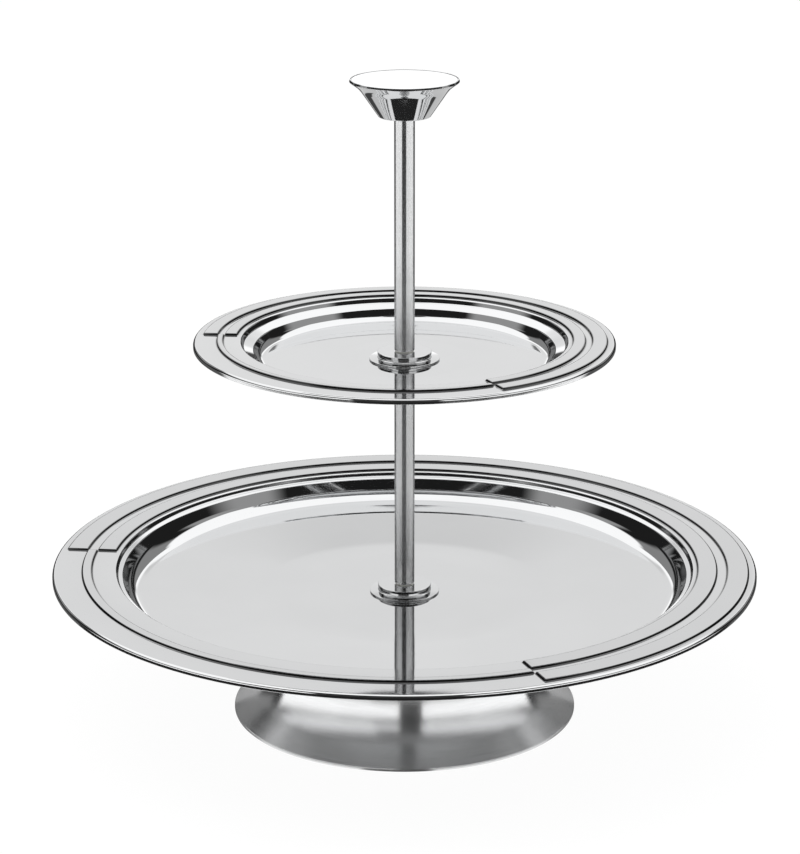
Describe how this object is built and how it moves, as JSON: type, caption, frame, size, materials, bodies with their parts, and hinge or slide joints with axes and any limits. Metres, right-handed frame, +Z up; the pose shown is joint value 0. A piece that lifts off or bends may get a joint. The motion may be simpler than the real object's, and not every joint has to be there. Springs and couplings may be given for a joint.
{
  "type": "tiered cake stand",
  "caption": "Tiered stainless-steel cake stand: flared foot, embossed round trays with wells, screwed tube columns with flared rosettes, and a cone knob.",
  "frame": {"origin": "centre of the foot on the table", "axes": "+Z up the columns; the front of the stand faces -Y"},
  "size_m": [0.32, 0.32, 0.2923],
  "materials": {
    "polished_steel": "mirror polished stainless steel",
    "brushed_steel": "satin, brushed round the axis",
    "column_steel": "fine satin, brushed along the tube",
    "plain_steel": "turned, zinc plated",
    "nylon": "natural nylon"
  },
  "bodies": {
    "foot": {"foot_shell": "brushed_steel", "foot_stiffener": "plain_steel", "foot_boss": "plain_steel", "foot_gasket": "nylon"},
    "lower_tier": {"lower_tray": "polished_steel", "lower_rosette": "polished_steel"},
    "lower_joint_washer": {"lower_end_washer": "nylon"},
    "lower_post": {"lower_column": "column_steel", "lower_bottom_insert": "plain_steel", "lower_stud": "plain_steel", "lower_top_insert": "plain_steel", "tray_seat": "plain_steel", "tray_gasket": "nylon"},
    "upper_tier": {"upper_tray": "polished_steel", "upper_rosette": "polished_steel"},
    "upper_joint_washer": {"upper_end_washer": "nylon"},
    "upper_post": {"upper_column": "column_steel", "upper_bottom_insert": "plain_steel", "upper_stud": "plain_steel", "upper_top_insert": "plain_steel"},
    "knob_joint_washer": {"knob_washer": "nylon"},
    "knob": {"knob_shell": "polished_steel", "knob_cap": "polished_steel", "knob_core": "plain_steel", "knob_stud": "plain_steel"}
  },
  "joints": [
    {"name": "lower_tray_turn", "type": "hinge", "parent": "foot", "child": "lower_tier", "pos_m": [0, 0, 0.0547], "axis": [0, 0, 1], "continuous": true},
    {"name": "lower_column_rise", "type": "slide", "parent": "foot", "child": "lower_joint_washer", "axis": [0, 0, 1], "range_m": [0, 0.0064]},
    {"name": "lower_column_turn", "type": "hinge", "parent": "lower_joint_washer", "child": "lower_post", "pos_m": [0, 0, 0.0597], "axis": [0, 0, 1], "range_deg": [0, 2890]},
    {"name": "upper_tray_turn", "type": "hinge", "parent": "lower_post", "child": "upper_tier", "pos_m": [0, 0, 0.1651], "axis": [0, 0, 1], "continuous": true},
    {"name": "upper_column_rise", "type": "slide", "parent": "lower_post", "child": "upper_joint_washer", "axis": [0, 0, 1], "range_m": [0, 0.0064]},
    {"name": "upper_column_turn", "type": "hinge", "parent": "upper_joint_washer", "child": "upper_post", "pos_m": [0, 0, 0.1701], "axis": [0, 0, 1], "range_deg": [0, 2890]},
    {"name": "knob_rise", "type": "slide", "parent": "upper_post", "child": "knob_joint_washer", "axis": [0, 0, 1], "range_m": [0, 0.0064]},
    {"name": "knob_turn", "type": "hinge", "parent": "knob_joint_washer", "child": "knob", "pos_m": [0, 0, 0.2757], "axis": [0, 0, 1], "range_deg": [0, 2890]}
  ],
  "couplings": [
    {"joint": "lower_column_turn", "follows": "lower_column_rise", "rad_per_m": 7854},
    {"joint": "upper_column_turn", "follows": "upper_column_rise", "rad_per_m": 7854},
    {"joint": "knob_turn", "follows": "knob_rise", "rad_per_m": 7854}
  ]
}
